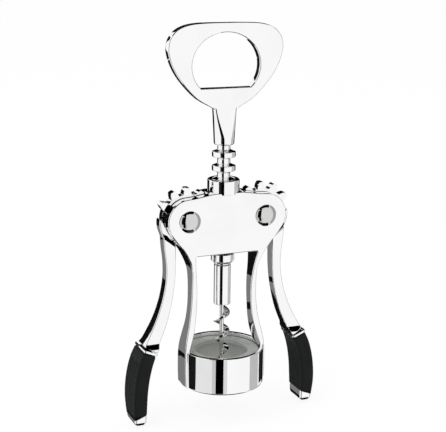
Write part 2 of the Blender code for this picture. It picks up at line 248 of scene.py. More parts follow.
def makePiece(name, bm, body, nodes, look, crease=32):
    # scales the shape to metres and hands it to the frame
    bmesh.ops.remove_doubles(bm, verts=bm.verts, dist=0.0008)
    bmesh.ops.dissolve_degenerate(bm, edges=bm.edges, dist=0.0004)
    bmesh.ops.recalc_face_normals(bm, faces=bm.faces)
    bmesh.ops.scale(bm, verts=bm.verts, vec=(mm, mm, mm))
    mesh = bpy.data.meshes.new(name)
    bm.to_mesh(mesh)
    bm.free()
    mesh.shade_smooth()
    mesh.set_sharp_from_angle(angle=math.radians(crease))
    piece = bpy.data.objects.new(name, mesh)
    bpy.context.scene.collection.objects.link(piece)
    flatFaces = piece.modifiers.new("flat faces stay flat", "WEIGHTED_NORMAL")
    flatFaces.keep_sharp = True
    mesh.materials.append(look)
    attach(piece, body)
    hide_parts(*nodes)
    print("made", name, len(mesh.polygons), "faces")
    return piece


# materials

def newGroup(name, inputs, outputs):
    group = bpy.data.node_groups.new(name, "ShaderNodeTree")
    for label, kind, value in inputs:
        socket = group.interface.new_socket(name=label, in_out="INPUT", socket_type="NodeSocket" + kind)
        if value is not None:
            socket.default_value = value
    for label, kind in outputs:
        group.interface.new_socket(name=label, in_out="OUTPUT", socket_type="NodeSocket" + kind)
    return group, group.nodes.new("NodeGroupInput"), group.nodes.new("NodeGroupOutput")


def addNode(tree, kind, **settings):
    node = tree.nodes.new("ShaderNode" + kind)
    for key, value in settings.items():
        setattr(node, key, value)
    return node


def addMath(tree, operation, first, second=None, third=None):
    node = addNode(tree, "Math", operation=operation)
    for i, value in enumerate((first, second, third)):
        if value is None:
            continue
        if isinstance(value, (int, float)):
            node.inputs[i].default_value = value
        else:
            tree.links.new(value, node.inputs[i])
    return node.outputs[0]


def addNoise(tree, place, scale, detail=3, roughness=0.5):
    node = addNode(tree, "TexNoise")
    tree.links.new(place, node.inputs["Vector"])
    node.inputs["Detail"].default_value = detail
    node.inputs["Roughness"].default_value = roughness
    if isinstance(scale, (int, float)):
        node.inputs["Scale"].default_value = scale
    else:
        tree.links.new(scale, node.inputs["Scale"])
    return node.outputs["Fac"]


def addRange(tree, value, low, high, outLow=0, outHigh=1):
    node = addNode(tree, "MapRange")
    tree.links.new(value, node.inputs["Value"])
    for label, number in (("From Min", low), ("From Max", high), ("To Min", outLow), ("To Max", outHigh)):
        if isinstance(number, (int, float)):
            node.inputs[label].default_value = number
        else:
            tree.links.new(number, node.inputs[label])
    return node.outputs["Result"]


def handlingMarksGroup():
    # hairlines from wiping and soft smears from fingers, for anything polished
    group, given, out = newGroup(
        "handlingMarks",
        [("Place", "Vector", None), ("Smear Scale", "Float", 60.0), ("Hairline Scale", "Float", 900.0),
         ("Cleanest", "Float", 0.03), ("Dirtiest", "Float", 0.09)],
        [("Roughness", "Float"), ("Height", "Float"), ("Smear", "Float")])
    smear = addRange(group, addNoise(group, given.outputs["Place"], given.outputs["Smear Scale"], 4, 0.6), 0.46, 0.72)
    stretch = addNode(group, "Mapping")
    stretch.inputs["Rotation"].default_value = (0.3, 0.2, 0.9)
    stretch.inputs["Scale"].default_value = (1, 1, 0.06)
    group.links.new(given.outputs["Place"], stretch.inputs["Vector"])
    lines = addNoise(group, stretch.outputs["Vector"], given.outputs["Hairline Scale"], 2)
    hairlines = addRange(group, lines, 0.62, 0.7)
    dull = addMath(group, "MAXIMUM", smear, addMath(group, "MULTIPLY", hairlines, 0.6))
    group.links.new(addRange(group, dull, 0, 1, given.outputs["Cleanest"], given.outputs["Dirtiest"]),
                    out.inputs["Roughness"])
    group.links.new(addMath(group, "MULTIPLY", hairlines, -1), out.inputs["Height"])
    group.links.new(smear, out.inputs["Smear"])
    return group


def fineGrainGroup():
    # the skin that a mould leaves: fine bumps over a slower unevenness
    group, given, out = newGroup(
        "fineGrain",
        [("Place", "Vector", None), ("Grain Scale", "Float", 2500.0), ("Patch Scale", "Float", 120.0)],
        [("Grain", "Float"), ("Patch", "Float"), ("Height", "Float")])
    grain = addNoise(group, given.outputs["Place"], given.outputs["Grain Scale"], 2)
    patch = addNoise(group, given.outputs["Place"], given.outputs["Patch Scale"], 3)
    group.links.new(grain, out.inputs["Grain"])
    group.links.new(patch, out.inputs["Patch"])
    group.links.new(addMath(group, "MULTIPLY_ADD", patch, 0.3, grain), out.inputs["Height"])
    return group


handlingMarks = handlingMarksGroup()
fineGrain = fineGrainGroup()


def newMaterial(name, metallic=0.0, roughness=0.5):
    found = bpy.data.materials.new(name)
    found.use_nodes = True
    tree = found.node_tree
    shader = tree.nodes["Principled BSDF"]
    shader.inputs["Metallic"].default_value = metallic
    shader.inputs["Roughness"].default_value = roughness
    place = addNode(tree, "TexCoord").outputs["Object"]
    return found, tree, shader, place


def useGroup(tree, group, place, **values):
    node = addNode(tree, "Group", node_tree=group)
    tree.links.new(place, node.inputs["Place"])
    for label, value in values.items():
        node.inputs[label.replace("_", " ")].default_value = value
    return node


def addBump(tree, shader, height, distance, strength=1.0):
    bump = addNode(tree, "Bump")
    bump.inputs["Distance"].default_value = distance
    bump.inputs["Strength"].default_value = strength
    tree.links.new(height, bump.inputs["Height"])
    tree.links.new(bump.outputs["Normal"], shader.inputs["Normal"])


def twoTone(tree, shader, mask, dark, light):
    mix = addNode(tree, "Mix", data_type="RGBA")
    mix.inputs["A"].default_value = (*dark, 1)
    mix.inputs["B"].default_value = (*light, 1)
    tree.links.new(mask, mix.inputs["Factor"])
    tree.links.new(mix.outputs["Result"], shader.inputs["Base Color"])


def polishedMaterial(name, light, dark, cleanest, dirtiest):
    found, tree, shader, place = newMaterial(name, metallic=1.0)
    marks = useGroup(tree, handlingMarks, place, Cleanest=cleanest, Dirtiest=dirtiest)
    tree.links.new(marks.outputs["Roughness"], shader.inputs["Roughness"])
    twoTone(tree, shader, marks.outputs["Smear"], light, dark)
    addBump(tree, shader, marks.outputs["Height"], 0.000002, 0.3)
    return found


def turnedMaterial(name, light, dark):
    # bright steel with the faint rings that a lathe leaves
    found, tree, shader, place = newMaterial(name, metallic=1.0)
    marks = useGroup(tree, handlingMarks, place, Cleanest=0.05, Dirtiest=0.13)
    tree.links.new(marks.outputs["Roughness"], shader.inputs["Roughness"])
    twoTone(tree, shader, marks.outputs["Smear"], light, dark)
    rings = addNode(tree, "TexWave", bands_direction="Z")
    rings.inputs["Scale"].default_value = 900
    rings.inputs["Distortion"].default_value = 1.5
    tree.links.new(place, rings.inputs["Vector"])
    addBump(tree, shader, rings.outputs["Fac"], 0.000004, 0.4)
    return found


def mouldedMaterial(name, light, dark, roughness, grainScale, grainHeight, shine=0.4):
    found, tree, shader, place = newMaterial(name)
    shader.inputs["Specular IOR Level"].default_value = shine
    grain = useGroup(tree, fineGrain, place, Grain_Scale=grainScale)
    twoTone(tree, shader, addRange(tree, grain.outputs["Patch"], 0.35, 0.65), dark, light)
    rough = addRange(tree, grain.outputs["Grain"], 0.3, 0.7, roughness[0], roughness[1])
    tree.links.new(rough, shader.inputs["Roughness"])
    addBump(tree, shader, grain.outputs["Height"], grainHeight, 0.6)
    return found


chrome = polishedMaterial("polishedChrome", (0.93, 0.935, 0.93), (0.9, 0.905, 0.9), 0.025, 0.06)
rivetChrome = polishedMaterial("rivetChrome", (0.66, 0.66, 0.65), (0.56, 0.56, 0.55), 0.06, 0.13)
steel = turnedMaterial("brightSteel", (0.8, 0.8, 0.79), (0.7, 0.7, 0.69))
rubber = mouldedMaterial("gripRubber", (0.009, 0.0105, 0.0105), (0.007, 0.008, 0.008), (0.42, 0.55), 3000, 0.00005,
                         0.1)
linerPlastic = mouldedMaterial("linerPlastic", (0.39, 0.4, 0.38), (0.35, 0.36, 0.34), (0.32, 0.42), 1600, 0.00002)
nylon = mouldedMaterial("washerNylon", (0.76, 0.75, 0.71), (0.7, 0.69, 0.64), (0.38, 0.5), 1800, 0.00002)
print("materials ready")


# body: cheeks, legs, collar and bell in one casting

bodySizes = {
    "cheekHalf": 6.8,
    "rim": 0.55,
    "lobe": 10.8,
    "slotHalf": 3.0,
    "slotRadius": 15.9,
    "foot": [(22.3, 70.6), (25.2, 74.0)],
    "crown": [(17.0, 95.6), (7.5, 97.1)],
    # leg: height, inner edge, outer edge, half depth
    "leg": [(1.2, 19.2, 20.9, 5.5), (8, 19.2, 21.1, 5.5), (16, 19.1, 21.1, 5.3), (21, 17.9, 20.7, 4.9),
            (26.5, 16.2, 19.6, 4.2), (33, 14.9, 18.2, 3.3), (40, 14.3, 17.3, 3.0), (46, 14.1, 17.0, 3.1),
            (52, 14.3, 16.9, 3.4), (58, 15.0, 17.1, 4.1), (62, 15.5, 18.0, 5.0), (66, 16.0, 19.6, 6.2)],
    "legSlices": (2.5, 73, 1.3),  # from, to, gap
    "cheekFoot": 70.5,
    "lobeTurn": (-38, 82),
    "windowTop": 66.9,
    "windowCorner": (0.7, 0.8),  # how far in its centre stands, radius
    "bore": 6.2,
    "collar": 7.75,
    "collarHeights": (96.1, 102.9),
    "bellOuter": 20.8,
    "bellBore": 18.9,
    "bellHeight": 18.7,
    "rivetHole": 3.3,
    "rivetHoleReach": 12,
    "cutPast": 5,  # how far the cuts run past what they cut
}


def makeBody():
    s = bodySizes
    leg = s["leg"]
    outer = smoothLine([(row[2], row[0]) for row in leg] + s["foot"], 4)
    lobe = arc(pivot, s["lobe"], *s["lobeTurn"], 32)
    right = outer[:-1] + smoothLine([s["foot"][-1], lobe[0]], 3)[:-1] + lobe + s["crown"]
    inner = smoothLine([(row[1], row[0]) for row in leg], 4)
    inset, corner = s["windowCorner"]
    window = inner[:-1] + arc((inner[-1][0] - inset, s["windowTop"] - corner), corner, 0, 90, 4)
    outline = right + mirrorLine(right) + [(-x, z) for x, z in window] + list(reversed(window))
    casting = plate(outline, s["cheekHalf"], s["rim"], 4)
    sliceAcross(casting, *s["legSlices"])
    setDepth(casting, s["cheekHalf"], [(row[0], row[3]) for row in leg] + [(s["cheekFoot"], s["cheekHalf"])])
    low, high = s["collarHeights"]
    collar = lathe(rounded([(s["bore"] - 1, low, 0), (s["collar"], low, 0.15), (s["collar"], high, 0.5),
                            (s["bore"] - 1, high, 0)]))
    bell = lathe(rounded([(s["bellBore"], 0, 0.3), (s["bellOuter"], 0, 1.2), (s["bellOuter"], s["bellHeight"], 0.45),
                          (s["bellBore"], s["bellHeight"], 0.45)]), 160)
    casting = carve(casting, "UNION", [collar])
    start = 180 - math.degrees(math.acos((pivotX - s["collar"]) / s["slotRadius"]))
    slot = arc(pivot, s["slotRadius"], start, 360, 64)
    above = high + s["cutPast"]
    slot += [(pivotX + s["slotRadius"], above), (s["collar"], above)]
    cuts = [onSide(plate(slot, s["slotHalf"]), side) for _, side in sides]
    below = s["windowTop"] - s["cutPast"]
    cuts.append(lathe([(0, below), (s["bore"], below), (s["bore"], above), (0, above)], 72))
    for _, side in sides:
        cuts.append(rivetHole(side, s["rivetHoleReach"]))
    # the bell is its own closed shell, so that its round wall shades evenly past the legs
    casting = joined(carve(casting, "DIFFERENCE", cuts), bell)
    makePiece("bodyCasting", casting, "frame", ["body_frame"], chrome)


def rivetHole(side, reach):
    radius = bodySizes["rivetHole"]
    return frontward(lathe([(0, -reach), (radius, -reach), (radius, reach), (0, reach)], 48), side * pivotX, pivotZ)


linerSizes = {"outer": 18.6, "cavity": 15.9, "hole": 13.0, "low": 0.5, "ledgeTop": 16.8, "ledgeThick": 2.0}


def makeLiner():
    s = linerSizes
    under = s["ledgeTop"] - s["ledgeThick"]
    profile = rounded([(s["cavity"], s["low"], 0.4), (s["outer"], s["low"], 0.3), (s["outer"], s["ledgeTop"], 0.3),
                       (s["hole"], s["ledgeTop"], 0.5), (s["hole"], under, 0.4), (s["cavity"], under - 0.8, 0.5)])
    makePiece("bellLiner", lathe(profile, 128), "frame", ["bell_liner"], linerPlastic)


makeBody()
makeLiner()


# rivets and washers

rivetSizes = {"shank": 3.0, "head": 5.3, "rimHeight": 0.3, "domeRadius": 5.75, "domeSquash": 0.55, "seat": 6.85,
              "frontShankEnd": -4.0, "rearShankEnd": 4.3}
washerSizes = {"bore": 3.3, "edge": 0.05}


def rivetShape(shankEnd):
    s = rivetSizes
    tilt = math.degrees(math.asin(s["head"] / s["domeRadius"]))
    top = s["seat"] + s["rimHeight"]
    foot = math.cos(math.radians(tilt))
    dome = [(r, top + (z / s["domeRadius"] - foot) * s["domeRadius"] * s["domeSquash"])
            for r, z in arc((0, 0), s["domeRadius"], 90 - tilt, 90, 18)]
    profile = [(0, shankEnd), (s["shank"] - 0.2, shankEnd), (s["shank"], shankEnd + 0.2), (s["shank"], s["seat"]),
               (s["head"], s["seat"])] + dome
    return lathe(profile, 80)


def makeRivets():
    for label, side in sides:
        front = frontward(rivetShape(rivetSizes["frontShankEnd"]), side * pivotX, pivotZ)
        makePiece(label + "RivetHead", front, "frame", [label + "_pivot_rivet"], rivetChrome)
        rear = rivetShape(rivetSizes["rearShankEnd"])
        bmesh.ops.rotate(rear, verts=rear.verts, matrix=Matrix.Rotation(math.pi, 3, "X"))
        rear = frontward(rear, side * pivotX, pivotZ)
        makePiece(label + "RivetCap", rear, "frame", [label + "_rivet_cap"], rivetChrome)


def makeWashers():
    bore, edge = washerSizes["bore"], washerSizes["edge"]
    for label, side in sides:
        for place in ("front", "rear"):
            node = f"{label}_{place}_washer"
            low, high = boxOf(node)
            outer = (high.x - low.x) / 2
            thick = high.y - low.y
            profile = [(bore, 0, edge), (outer, 0, edge), (outer, thick, edge), (bore, thick, edge)]
            ring = lathe(rounded(profile, 2), 64)
            ring = frontward(ring, side * pivotX, pivotZ)
            bmesh.ops.translate(ring, verts=ring.verts, vec=(0, high.y, 0))
            makePiece(f"{label}{place.capitalize()}Washer", ring, "frame", [node], nylon)


makeRivets()
makeWashers()


# levers: gear, arm, flange under the arm, core in the grip and bare tip

leverSizes = {
    "gearHalf": 2.2,
    "holeReach": 9,
    "ringPitch": 6.7,
    "toothStep": 29,
    "pressureAngle": 20,
    "toothWidth": 3.9,
    "firstTooth": 1,
    "teethBelow": 1,
    "teethAbove": 5,
    "tipRadius": 15.5,
    "rootRadius": 12.2,
    "rootSpread": 0.06,
    "flankSteps": 8,
    # past the teeth the rim is bare, and stands out only between the two turns where the arm meets it
    "bareRadius": 10.2,
    "bareSteps": 26,
    "armTurns": (3.6, 4.9),
    "armRise": 0.4,
    # arm: centre x, centre z, thickness
    "arm": [(28.2, 76.5, 6.3), (28.1, 72.0, 5.9), (27.7, 65.0, 5.0), (27.7, 58.0, 4.6), (28.5, 50.5, 4.8),
            (30.1, 43.0, 5.2), (32.6, 35.2, 5.8), (35.8, 28.2, 6.2), (38.6, 22.8, 6.4)],
    "armGap": 1.4,
    "armHalf": 2.6,
    # height, half depth
    "armDepth": [(90, 2.6), (60, 2.6), (50.5, 2.5), (43, 2.5), (35.2, 2.8), (27.6, 3.5), (25.9, 3.9), (24.6, 4.8),
                 (23.4, 6.3), (22.6, 6.7), (21, 6.8)],
    "armSlices": [(22, 28, 0.4), (28.4, 56, 1.1)],  # from, to, gap
    # below a slanting line the arm stands out: a point on it, its direction down, the step's height and length
    "armStep": ((30.5, 76.3), (0.62, -0.78), 0.5, 0.4),
    "armEdge": 0.5,
    # radius, from, to
    "horn": (12.9, 4, -24),
    "hub": (11.5, -34, -62),
    "spur": [(33.0, 86.0), (33.3, 84.0), (33.0, 81.2), (32.2, 78.8)],
    "flange": (7.5, 15.0, 1.2, 1.3),  # thickness, depth, height, corner radius
    "flangeSink": 0.3,
    "flangeEdge": 0.28,
    # thickness, depth, corner radius
    "core": (3.4, 9.6, 0.8),
    "coreGap": 1.5,
    "tip": (6.0, 13.4, 1.2),
    # height over the grip line's end, share of the thickness, share of the depth
    "tipEnd": [(3.2, 0.97, 0.99), (1.6, 1, 1), (0.2, 1, 1), (-0.9, 0.97, 0.985), (-1.7, 0.88, 0.95),
               (-2.3, 0.72, 0.88), (-2.6, 0.5, 0.76)],
}
gripSizes = {
    # centre x, centre z, thickness, half depth
    "line": [(39.6, 20.9, 6.9, 7.3), (41.7, 15.8, 7.2, 7.8), (43.3, 9.6, 7.3, 8.0), (44.3, 2.6, 7.3, 8.0),
             (44.6, -4.4, 7.1, 7.8), (44.3, -12.6, 6.3, 7.0)],
    "lineGap": 0.4,
    # thickness, depth and corner radius of the section that the line's sizes stretch
    "section": (7.0, 15.6, 1.5),
    "outerPoints": 36,
    # distance from the top, share of the thickness, share of the depth
    "topEnd": [(0.0, 0.86, 0.93), (0.25, 0.93, 0.97), (0.7, 0.985, 0.993), (1.3, 1, 1)],
    # the slanting cut at the low end: height over the line's end, the way that it faces
    "lowCut": (1.9, (0.38, 0, 0.93)),
}


def gearOutline():
    s = leverSizes
    step = math.radians(s["toothStep"])
    pitchRadius = s["ringPitch"] / step
    pressure = math.radians(s["pressureAngle"])
    base = pitchRadius * math.cos(pressure)
    start = s["toothWidth"] / (2 * pitchRadius) + math.tan(pressure) - pressure
    flank = [(s["rootRadius"], start)]
    for i in range(s["flankSteps"] + 1):
        radius = base + (s["tipRadius"] - base) * i / s["flankSteps"]
        turn = math.acos(base / radius)
        flank.append((radius, start - math.tan(turn) + turn))
    points = []
    for tooth in range(-s["teethBelow"], s["teethAbove"] + 1):
        middle = math.radians(s["firstTooth"]) + tooth * step
        points += [(radius, middle - half) for radius, half in flank]
        points += [(radius, middle + half) for radius, half in reversed(flank)]
        if tooth < s["teethAbove"]:
            spreads = (-s["rootSpread"], 0, s["rootSpread"])
            points += [(s["rootRadius"], middle + step / 2 + spread) for spread in spreads]
    last, first = points[-1][1], points[0][1] + math.tau
    armStart, armEnd = s["armTurns"]
    for i in range(1, s["bareSteps"]):
        turn = last + (first - last) * i / s["bareSteps"]
        points.append((s["rootRadius"] + s["armRise"] if armStart < turn < armEnd else s["bareRadius"], turn))
    return [(pivotX - radius * math.cos(turn), pivotZ + radius * math.sin(turn)) for radius, turn in points]


def lineStations(line, gap):
    # (distance, x, z, other values) every so often along a smooth line, and the direction there
    fine = smoothLine(line, 24)
    walked = [0.0]
    for before, here in zip(fine, fine[1:]):
        walked.append(walked[-1] + math.hypot(here[0] - before[0], here[1] - before[1]))
    count = max(2, round(walked[-1] / gap))
    rows = []
    for i in range(count + 1):
        at = walked[-1] * i / count
        rows.append([at] + [float(np.interp(at, walked, [point[k] for point in fine])) for k in range(len(fine[0]))])
    runs = []
    for i in range(count + 1):
        before, after = rows[max(i - 1, 0)], rows[min(i + 1, count)]
        runs.append(Vector((after[1] - before[1], after[2] - before[2])).normalized())
    return rows, runs


def ribbon(line, gap):
    # both edges of a centreline that carries its thickness
    rows, runs = lineStations(line, gap)
    right, left = [], []
    for (_, x, z, thick), run in zip(rows, runs):
        right.append((x - run.y * thick / 2, z + run.x * thick / 2))
        left.append((x + run.y * thick / 2, z - run.x * thick / 2))
    return right, left


def placeAcross(x, z, run, sizeX=1.0, sizeY=1.0):
    # stands a section square to a run in the x, z plane: its x goes outwards and its y along y
    outward = Vector((-run.y, 0, run.x))
    along = Vector((run.x, 0, run.y))
    basis = Matrix((outward * sizeX, Vector((0, sizeY, 0)), along)).transposed().to_4x4()
    return Matrix.Translation((x, 0, z)) @ basis


def roundedBox(width, depth, corner, steps=5):
    x, y = width / 2, depth / 2
    return rounded([(x, y, corner), (-x, y, corner), (-x, -y, corner), (x, -y, corner)], steps)


def armShape():
    s = leverSizes
    outer, inner = ribbon(s["arm"], s["armGap"])
    spur = smoothLine(s["spur"] + [outer[0]], 6)
    hub = arc(pivot, *s["horn"], 8) + arc(pivot, *s["hub"], 8)
    outline = spur[:-1] + outer + list(reversed(inner)) + list(reversed(hub))
    arm = plate(outline, s["armHalf"], s["armEdge"], 3)
    for low, high, gap in s["armSlices"]:
        sliceAcross(arm, low, high, gap)
    setDepth(arm, s["armHalf"], s["armDepth"])
    (x, z), (downX, downZ), height, length = s["armStep"]
    start, down = Vector((x, 0, z)), Vector((downX, 0, downZ)).normalized()
    for gap in (0, length):
        bmesh.ops.bisect_plane(arm, geom=arm.verts[:] + arm.edges[:] + arm.faces[:], dist=1e-5,
                               plane_co=start + down * gap, plane_no=down)
    for v in arm.verts:
        share = min(1, max(0, (v.co - start).dot(down) / length))
        v.co.y += math.copysign(height * share, v.co.y)
    return arm


def gripTop():
    rows, runs = lineStations(gripSizes["line"], gripSizes["lineGap"])
    return rows[0], runs[0]


def flangeShape():
    s = leverSizes
    thick, depth, height, corner = s["flange"]
    sink = s["flangeSink"]
    (_, x, z, _, _), run = gripTop()
    ends = [placeAcross(x - run.x * (sink + up), z - run.y * (sink + up), run) for up in (height, 0)]
    slab = sweep(roundedBox(thick, depth, corner), ends)
    rims = [e for e in slab.edges if len(e.link_faces) == 2 and e.calc_face_angle() > 1.0]
    roundEdges(slab, rims, s["flangeEdge"], 3)
    return slab


def coreAndTip():
    s = leverSizes
    rows, runs = lineStations(gripSizes["line"], s["coreGap"])
    stations = [placeAcross(x, z, run) for (_, x, z, _, _), run in zip(rows, runs)]
    core = sweep(roundedBox(*s["core"], 3), stations)
    _, x, z, _, _ = rows[-1]
    stations = [placeAcross(x, z + up, Vector((0, -1)), across, deep) for up, across, deep in s["tipEnd"]]
    tip = sweep(roundedBox(*s["tip"]), stations)
    return joined(core, tip)


def leverShape(side):
    gear = plate(gearOutline(), leverSizes["gearHalf"], 0.16, 2)
    gear = carve(gear, "DIFFERENCE", [rivetHole(1, leverSizes["holeReach"])])
    return onSide(joined(gear, armShape(), flangeShape(), coreAndTip()), side)


def makeLevers():
    for label, side in sides:
        makePiece(label + "GearLever", leverShape(side), label + "_arm", [label + "_lever"], chrome)


ribs = {"pitch": 2.7, "height": 0.7, "slope": 0.42, "from": 5.0, "to": 31.5, "smoothBand": 1.6}


def gripShape():
    s = gripSizes
    rows, runs = lineStations(s["line"], s["lineGap"])
    width, depth, corner = s["section"]
    section = roundedBox(width, depth, corner, 4)
    # more points on the outer side, for the ribs
    outerEdge = [point for point in section if point[0] > width / 2 - 1e-4]
    top = max(point[1] for point in outerEdge)
    extra = [(width / 2, -top + 2 * top * i / s["outerPoints"]) for i in range(1, s["outerPoints"])]
    start = next(i for i, point in enumerate(section) if abs(point[0] - width / 2) < 1e-4 and point[1] < 0
                 and abs(point[1] + top) < 1e-4)
    section = section[:start + 1] + extra + section[start + 1:]
    reached, shareX, shareY = zip(*s["topEnd"])
    stations = []
    for (at, x, z, thick, half), run in zip(rows, runs):
        shrinkX = float(np.interp(at, reached, shareX))
        shrinkY = float(np.interp(at, reached, shareY))
        stations.append(placeAcross(x, z, run, shrinkX * thick / width, shrinkY * half * 2 / depth))
    bm = sweep(section, stations)
    addRibs(bm, rows, runs)
    # the low end is cut on a slant, higher towards the body
    _, x, z, _, _ = rows[-1]
    up, facing = s["lowCut"]
    cut = bmesh.ops.bisect_plane(bm, geom=bm.verts[:] + bm.edges[:] + bm.faces[:], dist=1e-5, clear_inner=True,
                                 plane_co=(x, 0, z + up), plane_no=Vector(facing))
    rim = [part for part in cut["geom_cut"] if isinstance(part, bmesh.types.BMEdge)]
    bmesh.ops.contextual_create(bm, geom=rim)
    bmesh.ops.recalc_face_normals(bm, faces=bm.faces)
    return bm


def addRibs(bm, rows, runs):
    # slanted ridges stand out of the outer side, and fade out before its edges
    s = ribs
    for v in bm.verts:
        i = min(range(0, len(rows), 2), key=lambda k: abs(rows[k][1] - v.co.x) + abs(rows[k][2] - v.co.z))
        at, x, z, thick, half = rows[i]
        outward = Vector((-runs[i].y, 0, runs[i].x))
        run = Vector((runs[i].x, 0, runs[i].y))
        offset = Vector((v.co.x - x, 0, v.co.z - z))
        if offset.dot(outward) < thick / 2 - 0.3:
            continue
        place = at + offset.dot(run)
        edgeFade = min(1, max(0, (half - s["smoothBand"] - abs(v.co.y)) / 0.9))
        endFade = min(1, max(0, (place - s["from"]) / 1.2), max(0, (s["to"] - place) / 1.2))
        wave = math.sin(math.tau * (place + s["slope"] * v.co.y) / s["pitch"])
        lift = s["height"] * (0.5 + 0.5 * max(-1, min(1, 1.6 * wave))) - s["height"]
        v.co += outward * lift * edgeFade * max(0, endFade)


def makeGrips():
    for label, side in sides:
        makePiece(label + "RubberGrip", onSide(gripShape(), side), label + "_arm", [label + "_grip"],
                  rubber, 50)


makeLevers()
makeGrips()


# rack, head, spindle and worm

rackSizes = {"rings": 7, "pitch": 6.7, "outer": 5.7, "root": 3.1, "halfRim": 1.26, "halfFoot": 2.2, "bore": 1.9,
             "phase": 0.231, "flangeHeight": 4.4, "flangeSlope": 0.6, "foot": 4.7, "footHeight": 1.0}


def makeRack():
    s = rackSizes
    low, high = boxOf("rack_sleeve")
    flangeTop = low.z + s["flangeHeight"]
    profile = [(s["bore"], low.z, 0.1), (s["foot"], low.z, 0.3), (s["outer"], low.z + s["footHeight"], 0.3),
               (s["outer"], flangeTop, 0.35), (s["root"], flangeTop + s["flangeSlope"], 0.4)]
    first = pivotZ + s["phase"] - 1.5 * s["pitch"]
    for i in range(s["rings"]):
        z = first + i * s["pitch"]
        profile += [(s["root"], z - s["halfFoot"], 0.4), (s["outer"], z - s["halfRim"], 0.45),
                    (s["outer"], z + s["halfRim"], 0.45), (s["root"], z + s["halfFoot"], 0.4)]
    profile += [(s["root"], high.z, 0.2), (s["bore"], high.z, 0.1)]
    makePiece("ringRack", lathe(rounded(profile, 4), 96), "rack", ["rack_sleeve"], chrome)


headSizes = {
    "half": 2.25,
    "edge": 0.6,
    # front outline, right half, from the neck to the top
    "side": [(5.9, 136.6), (9.4, 138.6), (14.4, 141.7), (19.2, 146.2), (23.8, 151.8), (27.0, 157.4), (28.8, 163.0),
             (28.9, 166.6), (27.9, 170.0), (25.2, 173.3), (21.2, 175.4), (16.0, 176.5), (8.0, 176.9), (0, 176.95)],
    "hole": (156.9, 17.1, 15.35),  # centre height, half width, half height
    "holeEdge": 0.7,
    "lip": 146.6,
    # height, radius
    "neck": [(119.6, 4.5), (120.0, 4.8), (120.6, 4.93), (125.0, 5.15), (128.0, 5.3), (131.0, 5.5), (134.0, 5.7),
             (137.0, 5.95), (140.5, 6.1)],
    "polish": 2.0,
    # height, half depth
    "scoop": [(119, 8.0), (123.4, 6.3), (124.6, 5.6), (126.2, 4.95), (128.0, 4.3), (131.0, 3.4), (134.0, 2.7),
              (137.0, 2.33), (140.5, 2.25)],
    "bore": 1.9,
    "boreHeights": (110, 130.8),
}


def makeHead():
    s = headSizes
    right = smoothLine(s["side"], 6)
    head = plate(right + mirrorLine(right)[1:], s["half"], s["edge"], 4)
    wall = [(radius, z) for z, radius in smoothLine(s["neck"], 8)]
    neck = lathe([(0, s["neck"][0][0])] + wall + [(0, s["neck"][-1][0])], 160)
    flattenNeck(neck)
    head = carve(head, "UNION", [neck])
    centre, halfWide, halfHigh = s["hole"]
    reach = math.degrees(math.asin((centre - s["lip"]) / halfHigh))
    hole = [(x * halfWide, centre + z * halfHigh) for x, z in arc((0, 0), 1, -reach, 180 + reach, 84)]
    low, high = s["boreHeights"]
    bore = lathe([(0, low), (s["bore"], low), (s["bore"], high), (0, high)], 32)
    head = carve(head, "DIFFERENCE", [plate(hole, 6), bore])
    rims = [e for e in head.edges if len(e.link_faces) == 2 and e.calc_face_angle() > 1.2
            and all(onHoleRim(v.co, s) for v in e.verts)]
    roundEdges(head, rims, s["holeEdge"], 4)
    makePiece("openerHead", head, "handle", ["opener_head"], chrome)


def flattenNeck(neck):
    # two scoops flatten the round neck into the plate, and their borders are polished over
    scoop = smoothLine(headSizes["scoop"], 8)
    for v in neck.verts:
        flat = float(np.interp(v.co.z, [spot[0] for spot in scoop], [spot[1] for spot in scoop]))
        apart = max(headSizes["polish"] - abs(abs(v.co.y) - flat), 0)
        depth = min(abs(v.co.y), flat) - apart * apart / (4 * headSizes["polish"])
        v.co.y = math.copysign(max(depth, 0), v.co.y)


def onHoleRim(place, s):
    centre, halfWide, halfHigh = s["hole"]
    onCurve = abs(math.hypot(place.x / halfWide, (place.z - centre) / halfHigh) - 1) < 0.004
    onLip = abs(place.z - s["lip"]) < 0.01 and abs(place.x) < halfWide
    return abs(abs(place.y) - s["half"]) < 0.01 and (onCurve or onLip)


spindleSizes = {"radius": 1.6, "socket": 4.1, "washer": 3.9, "bore": 1.9}


def makeSpindle():
    s = spindleSizes
    low, high = boxOf("spindle_rod")
    rod = lathe([(0, low.z), (s["radius"] - 0.2, low.z), (s["radius"], low.z + 0.2), (s["radius"], high.z - 0.2),
                 (s["radius"] - 0.2, high.z), (0, high.z)], 48)
    makePiece("spindleRod", rod, "handle", ["spindle_rod"], steel)
    low, high = boxOf("thrust_washer")
    ring = rounded([(s["bore"], low.z, 0.08), (s["washer"], low.z, 0.15), (s["washer"], high.z, 0.15),
                    (s["bore"], high.z, 0.08)], 3)
    makePiece("thrustWasher", lathe(ring, 80), "handle", ["thrust_washer"], steel)
    low, high = boxOf("worm_socket")
    shell = rounded([(s["bore"], low.z, 0.15), (s["socket"], low.z, 0.5), (s["socket"], high.z, 0.35),
                     (s["bore"], high.z, 0.1)], 4)
    makePiece("wormSocket", lathe(shell, 96), "handle", ["worm_socket"], chrome)


wormSizes = {"core": 1.05, "shank": 1.6, "blade": 4.0, "pitch": 9.6, "passHeight": 30.9, "passAngle": 157,
             "stepsPerTurn": 48}


